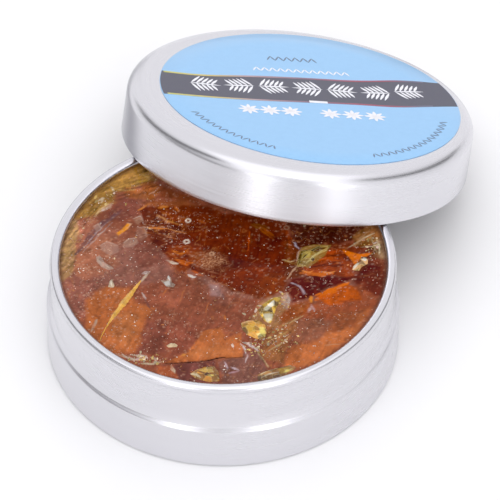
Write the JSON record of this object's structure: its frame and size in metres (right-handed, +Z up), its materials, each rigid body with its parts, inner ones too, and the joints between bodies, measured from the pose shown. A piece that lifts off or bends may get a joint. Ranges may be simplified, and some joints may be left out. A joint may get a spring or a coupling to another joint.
{
  "type": "tin of cast rosin",
  "caption": "Shallow round aluminium slip-lid tin filled with a cast amber rosin cake, its labelled lid lifted off and leaning on the rim; used to wet, flux or grip.",
  "frame": {"origin": "centre of the tin's flat underside, on the surface it stands on", "axes": "+Z up the tin's axis; +X and +Y lie in the table plane; the lid leans away towards +Y and a little towards +X"},
  "size_m": [0.0634, 0.0817, 0.0271],
  "materials": {
    "tin_metal": "satin spun aluminium",
    "lid_metal": "satin spun aluminium",
    "rosin_amber": "glassy cast rosin, amber with darker and lighter lumps",
    "rosin_yellow": "clear yellow rosin splinters",
    "rosin_pale": "pale dusty rosin flakes",
    "label_print": "smooth printed label, light blue with a slate band"
  },
  "bodies": {
    "tin": {"tin_base": "tin_metal", "rosin_cake": "rosin_amber", "yellow_shard_middle": "rosin_yellow", "yellow_shard_front": "rosin_yellow", "yellow_shard_back": "rosin_yellow", "clear_shard_right": "rosin_yellow", "yellow_shard_rim_left": "rosin_yellow", "yellow_shard_rim_right": "rosin_yellow", "yellow_sliver": "rosin_yellow", "cream_flake_front": "rosin_pale", "grey_flake_middle": "rosin_pale", "cream_flake_left": "rosin_pale", "grey_flake_left": "rosin_pale"},
    "lid": {"lid_shell": "lid_metal", "lid_label": "label_print"}
  },
  "joints": [
    {"name": "lid_lift", "type": "slide", "parent": "tin", "child": "lid", "axis": [0, 0, 1], "range_m": [0, 0.03]}
  ]
}
